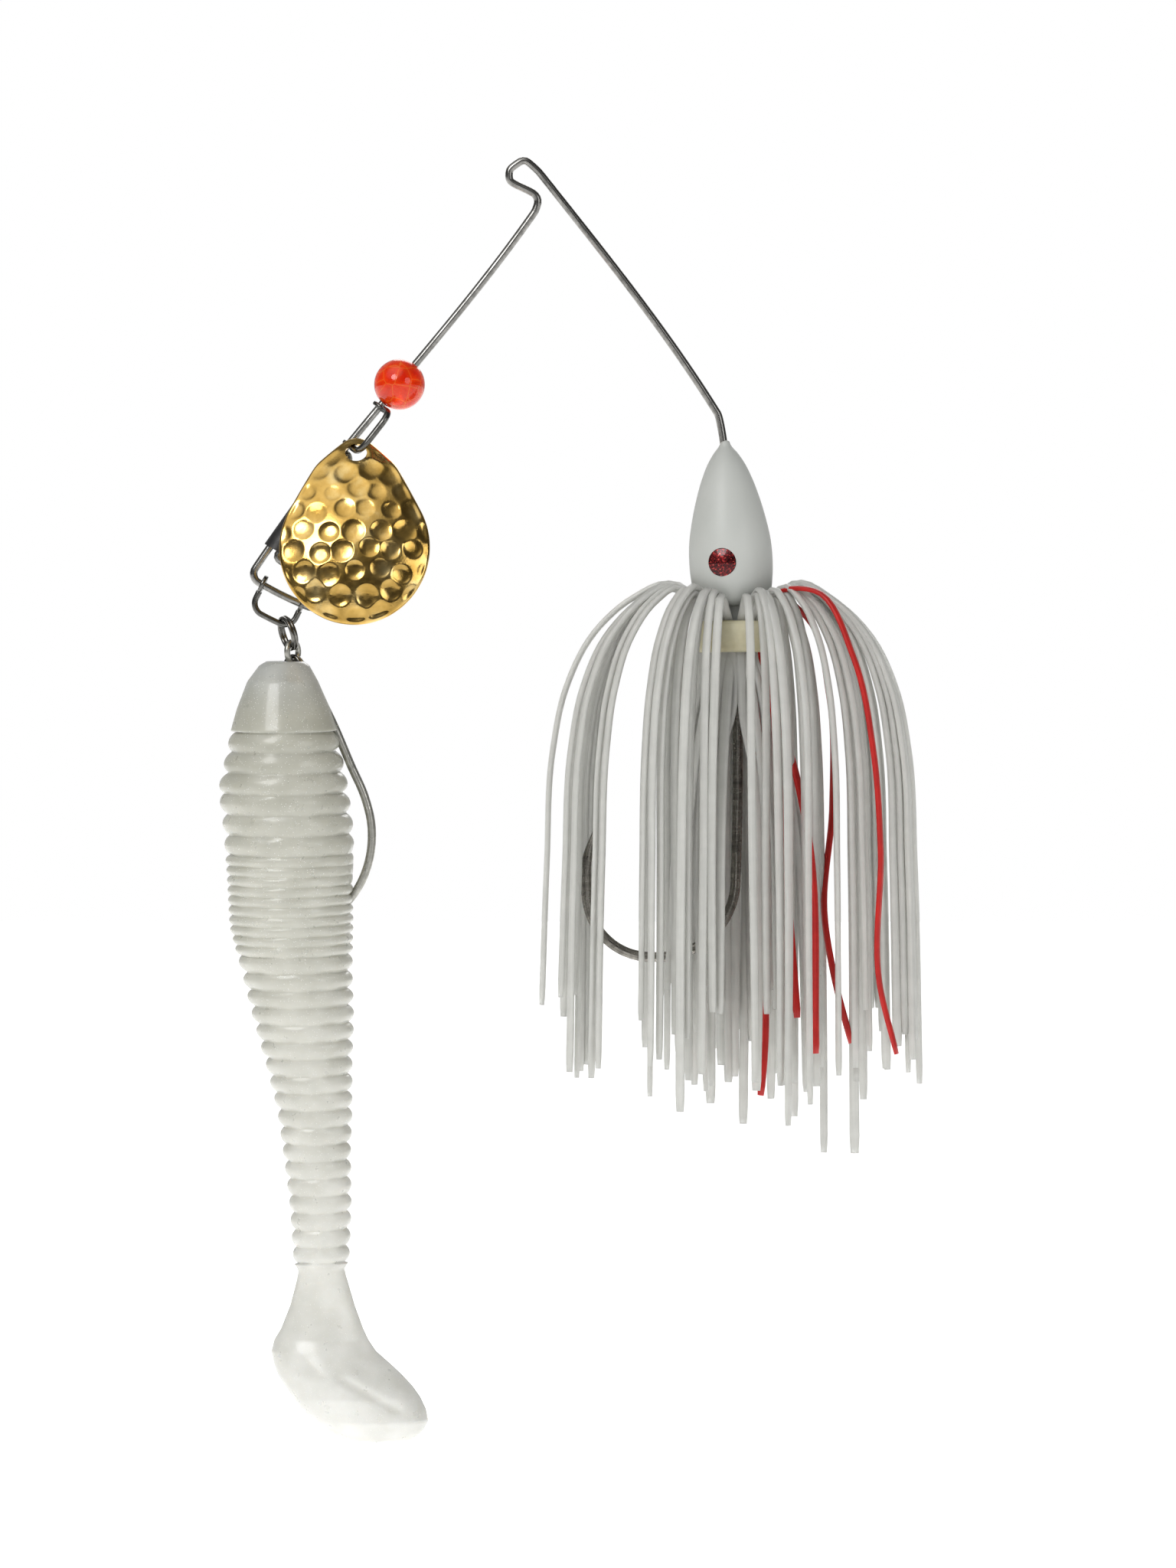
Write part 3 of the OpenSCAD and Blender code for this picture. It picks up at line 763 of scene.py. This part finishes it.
def drill(obj, at, axis, radius, start=-4.0, end=4.0):
    """Cuts a round hole from start to end along an axis, and smooths the shading again."""
    cutter = Shell().lathe([(radius, start), (radius, end)], at, axis, 64)
    cutter = cutter.made("drill", obj.data.materials[0])
    cut = obj.modifiers.new("hole", "BOOLEAN")
    cut.operation, cut.solver, cut.object = "DIFFERENCE", "EXACT", cutter
    graph = bpy.context.evaluated_depsgraph_get()
    mesh = bpy.data.meshes.new_from_object(obj.evaluated_get(graph))
    obj.modifiers.clear()
    obj.data = mesh
    bpy.data.objects.remove(cutter)
    mesh.shade_smooth()
    mesh.set_sharp_from_angle(angle=math.radians(50))


# ---------------------------------------------------------------- trailer

HOOK_ROUTE = [(-28.1, -59.6), (-27.6, -60.4), (-26.4, -62.6), (-23.97, -67.3), (-21.5, -73),
              (-19.8, -76.9), (-19.0, -80.3), (-19.0, -83), (-19.6, -85.8), (-20.9, -88.5),
              (-23.2, -90.9), (-26.2, -91.6), (-29.0, -90.2), (-30.6, -87), (-31.2, -83), (-31.4, -80),
              (-31.5, -77.5)]
EYE_YAW = math.radians(60)
EYE_AT = (-28.76, 0, -58.84)
BODY_ROWS = [(-60, -29.7, 2.3), (-60.5, -29.8, 3.1), (-62.5, -30, 4.4), (-65.9, -29.9, 5.8),
             (-68.4, -29.8, 6.6), (-75.8, -29.9, 8.1), (-81.5, -29.2, 8.1), (-87.2, -29.1, 7.8),
             (-92.9, -28.9, 7.7), (-98.6, -28.2, 6.9), (-104.3, -27.4, 6.3), (-110, -26.7, 5.4),
             (-115.7, -26, 4.7), (-121.4, -25.7, 4.2), (-127.1, -25.3, 3.9), (-132.8, -25.2, 3.6),
             (-134.4, -25.2, 3.5), (-135.4, -25.2, 2.9), (-136, -25.15, 2.95), (-137, -25.1, 3.2),
             (-139.9, -25.05, 4.0), (-142.8, -25.1, 5.1), (-144.2, -25.2, 5.85), (-145.6, -24.9, 6.5),
             (-147.1, -23.9, 7.2), (-148.5, -22.9, 7.7), (-149.9, -21.8, 7.9), (-151.3, -20.8, 7.9),
             (-152.8, -19.9, 7.7), (-154.2, -19, 7.1), (-155.6, -18.5, 5.9), (-156.7, -18.3, 4.2),
             (-157.3, -18.3, 0.4)]
# How deep the bait is, front to back, as half depths.
DEPTH_ROWS = [(-60, 1.9), (-62.5, 3.7), (-68.4, 5.5), (-75.8, 6.8), (-92.9, 6.4), (-110, 4.5),
              (-121.4, 3.5), (-134.4, 2.9), (-135.6, 1.9), (-137, 1.6), (-140, 1.7), (-144.2, 2.6),
              (-148.5, 4.4), (-151.3, 5.1), (-154.2, 4.5), (-156.7, 2.2), (-157.3, 0.3)]
RIB_TOP, RIB_END, RIB_HIGH = -68.6, -134.6, 1.0
# Runs of even ribs: [where the run starts, how many ribs].
RIB_RUNS = [(RIB_TOP, 6), (-84.0, 10), (-96.3, 18)]
# How far the ribs slope down across the bait.
TILT = 0.05


def rib_edges():
    """The heights between ribs: coarse, then fine round the hook's exit, then coarse again."""
    ends = [start for start, count in RIB_RUNS[1:]] + [RIB_END]
    runs = [np.linspace(start, end, count + 1)[:-1] for (start, count), end in zip(RIB_RUNS, ends)]
    return np.concatenate([*runs, [RIB_END]])


def rib_lift(z, edges):
    """0 in the groove between two ribs and 1 on a rib's crown."""
    if not edges[-1] < z < edges[0]:
        return 1.0
    i = int(np.searchsorted(-edges, -z)) - 1
    f = (edges[i] - z) / (edges[i] - edges[i + 1])
    return math.sin(math.pi * f) ** 0.55


def bait(plastic):
    """One soft skin from the nose to the paddle. It bends where the tail joins the body."""
    edges = rib_edges()
    ribs = [a + (b - a) * f for a, b in zip(edges, edges[1:])
            for f in (0.03, 0.09, 0.18, 0.3, 0.43, 0.57, 0.7, 0.82, 0.91, 0.97)]
    rows = [*np.linspace(-60.02, RIB_TOP, 34), *ribs, *np.linspace(RIB_END - 0.1, -157.28, 90)]
    sides, rings = 96, []
    for z in rows:
        x0, a, b = lookup(BODY_ROWS, z, 1), lookup(BODY_ROWS, z, 2), lookup(DEPTH_ROWS, z, 1)
        fine = 0.6 if RIB_RUNS[2][0] < z < RIB_RUNS[1][0] else 1
        groove = RIB_HIGH * (1 - rib_lift(z, edges)) * min(1, 0.45 + a / 12) * fine
        tilt = TILT * max(0, -(z + 137) / 137 + 0.6) if z > -136 else 0
        ring = []
        for k in range(sides):
            t = 2 * math.pi * k / sides
            c, s = math.cos(t), -math.sin(t)
            bare = math.exp(-(((z + 85.5) / 2.6) ** 2)) * max(0, c) ** 3
            cut = groove * (1 - 0.9 * bare) * (0.3 + 0.7 * abs(c) ** 1.5)
            rim = 0.12 * math.sin(9 * t + z) * groove / RIB_HIGH
            x = x0 + (a - cut + rim) * c
            y = (b - cut + rim) * s
            if z < -140:
                y = foot(x, z, s, y)
            near = math.hypot(x + 21.0, z + 88.5)
            y += 0.45 * math.exp(-((near / 1.1) ** 2)) * (1 if s > 0 else -1)
            ring.append((x, y, z + tilt * (x - x0) + 0.06 * y * (z > -134)))
        rings.append(ring)
    obj = Shell().skin(np.array(rings)).made("ribbed_bait", plastic)
    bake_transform(obj)
    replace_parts(obj, "bait_body", "bait_tail")


def foot(x, z, s, y):
    """The paddle's crease, pressed into both faces."""
    along = (x + 22.1) * 0.87 - (z + 148.9) * 0.5
    off = (x + 22.1) * 0.5 + (z + 148.9) * 0.87
    past = 0 if 0 < along < 7 else min(abs(along), abs(along - 7))
    crease = 0.5 * math.exp(-((off / 0.55) ** 2)) * math.exp(-(past**2))
    return y - math.copysign(min(crease, abs(y) * 0.5), s)


def trailer_hook(steel):
    path = smooth(in_plane(HOOK_ROUTE), 0.35)
    n = len(path)
    run = np.linspace(0, 1, n)
    radius = np.interp(run, [0, 0.02, 0.06, 0.9, 1], [0.36, 0.42, 0.54, 0.5, 0.06])
    shell = Shell().wire(path, radius, 20)
    shell.ring(EYE_AT, (math.sin(EYE_YAW), -math.cos(EYE_YAW), 0), 1.25, 0.38)
    obj = shell.made("trailer_hook_wire", steel)
    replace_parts(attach(obj, "trailer"), "trailer_hook")


def screw_lock(steel):
    """The link round the hook's eye and the coil turned into the bait's nose."""
    shell = Shell().ring((-28.76, 0, -60.4), (math.cos(EYE_YAW), math.sin(EYE_YAW), 0), 1.0, 0.28)
    coil = [(-29.3 + 1.1 * math.cos(a), 1.1 * math.sin(a), -61.6 - 1.3 * a / (2 * math.pi))
            for a in np.linspace(-math.pi / 2, 8 * math.pi, 160)]
    shell.wire(coil, 0.28, 12)
    obj = shell.made("screw_lock_wire", steel)
    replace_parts(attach(obj, "trailer"), "screw_lock")


# ---------------------------------------------------------------- camera, light and floor


def camera():
    """A long lens straight at the plane of the wire."""
    data = bpy.data.cameras.new("camera")
    data.lens, data.sensor_width = 135, 36
    obj = bpy.data.objects.new("camera", data)
    obj.location = (7.885 * MM, -0.7296, -75.24 * MM)
    obj.rotation_euler = (math.pi / 2, 0, 0)
    bpy.context.scene.collection.objects.link(obj)
    bpy.context.scene.camera = obj


def lamp(name, place, aim, size, power):
    data = bpy.data.lights.new(name, "AREA")
    data.shape, data.size, data.energy = "DISK", size, power
    obj = bpy.data.objects.new(name, data)
    obj.location = place
    direction = np.array(aim) - np.array(place)
    obj.rotation_euler = Vector(direction).to_track_quat("-Z", "Y").to_euler()
    bpy.context.scene.collection.objects.link(obj)


def lobe(nodes, links, direction, stops):
    """A grey level that follows the angle between a ray and one direction."""
    coords, dot = nodes.new("ShaderNodeTexCoord"), nodes.new("ShaderNodeVectorMath")
    dot.operation = "DOT_PRODUCT"
    dot.inputs[1].default_value = unit(direction)
    links.new(coords.outputs["Generated"], dot.inputs[0])
    ramp = nodes.new("ShaderNodeValToRGB")
    while len(ramp.color_ramp.elements) < len(stops):
        ramp.color_ramp.elements.new(0.5)
    for element, (place, level) in zip(ramp.color_ramp.elements, stops):
        element.position, element.color = place, (level, level, level * 0.98, 1)
    links.new(dot.outputs["Value"], ramp.inputs["Fac"])
    return ramp.outputs["Color"]


def surroundings():
    """A dim room with a bright wall behind and a pale one to the front left, so that metal shows its form."""
    world = bpy.data.worlds.new("studio")
    world.use_nodes = True
    nodes, links = world.node_tree.nodes, world.node_tree.links
    for node in list(nodes):
        nodes.remove(node)
    wall = [(0.0, 0.03), (0.6, 0.04), (0.8, 0.12), (0.89, 0.8), (1.0, 1.2)]
    front = lobe(nodes, links, (-0.32, -0.52, 0.79), wall)
    back = lobe(nodes, links, (0, 1, 0), [(0.0, 0.03), (0.35, 0.12), (1.0, 0.55)])
    add = nodes.new("ShaderNodeMix")
    add.data_type, add.blend_type = "RGBA", "ADD"
    add.inputs["Factor"].default_value = 1.0
    sockets = [i for i in add.inputs if i.name in "AB" and i.enabled]
    links.new(front, sockets[0])
    links.new(back, sockets[1])
    lit, seen = nodes.new("ShaderNodeBackground"), nodes.new("ShaderNodeBackground")
    links.new([o for o in add.outputs if o.enabled][0], lit.inputs["Color"])
    seen.inputs["Color"].default_value = (1, 1, 1, 1)
    path, mix = nodes.new("ShaderNodeLightPath"), nodes.new("ShaderNodeMixShader")
    out = nodes.new("ShaderNodeOutputWorld")
    links.new(path.outputs["Is Camera Ray"], mix.inputs["Fac"])
    links.new(lit.outputs[0], mix.inputs[1])
    links.new(seen.outputs[0], mix.inputs[2])
    links.new(mix.outputs[0], out.inputs["Surface"])
    bpy.context.scene.world = world
    bpy.context.scene.view_settings.view_transform = "Standard"


def floor():
    material = pale_floor()
    half, z = 4000.0, -186.0
    corners = [(-half, -half, z), (half, -half, z), (half, half, z), (-half, half, z)]
    obj = piece("floor", corners, [(0, 1, 2, 3)], material)


def repaint(node, material):
    """Gives a CAD node a finer material in its own slots."""
    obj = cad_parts[node]
    if not obj.material_slots:
        obj.data.materials.append(material)
    for slot in obj.material_slots:
        slot.material = material
    obj.data.shade_smooth()


def build():
    camera()
    surroundings()
    floor()
    lamp("key", (-0.28, -0.55, 0.32), (0, 0, -0.07), 0.30, 1.5)
    lamp("fill", (0.5, -0.6, 0.16), (0, 0, -0.08), 0.4, 0.8)
    lamp("rim", (0.1, 0.6, 0.35), (0, 0, -0.08), 0.45, 1.2)
    steel = drawn_metal("stainless", (0.11, 0.11, 0.105), (0.42, 0.41, 0.39), 0.16, 0.3)
    nickel = drawn_metal("black_nickel", (0.07, 0.065, 0.06), (0.42, 0.40, 0.36), 0.18, 0.40, 2.0)
    dark = drawn_metal("dark_steel", (0.05, 0.05, 0.048), (0.24, 0.235, 0.22), 0.16, 0.32)
    dull = drawn_metal("dull_steel", (0.22, 0.22, 0.20), (0.60, 0.59, 0.54), 0.25, 0.48, 2.0)
    frame_wire(steel)
    head(white_paint())
    main_hook(nickel)
    collar(collar_rubber())
    skirt(silicone("white_silicone", (0.72, 0.72, 0.69), (0.86, 0.86, 0.825), 0.4),
          silicone("red_silicone", (0.42, 0.008, 0.008), (0.72, 0.02, 0.015), 0.15))
    blade_clevis(dark)
    link_clevis(dark)
    blade(hammered_gold())
    trailer_hook(dull)
    screw_lock(dark)
    bait(pearl_plastic())
    glitter = eye_glitter()
    for node in ("eye_front", "eye_back"):
        repaint(node, glitter)
    repaint("red_bead", crackle_bead())
    beads = plain_metal("bead_metal", (0.30, 0.28, 0.24), (0.66, 0.63, 0.55), 0.14, 0.30)
    for node in ("bearing_bead_upper", "bearing_bead_middle", "bearing_bead_lower"):
        repaint(node, beads)
    repaint("lock_sleeve", black_tube())
    repaint("split_ring", plain_metal("ring_metal", (0.06, 0.06, 0.058), (0.28, 0.27, 0.25), 0.14, 0.32))


build()
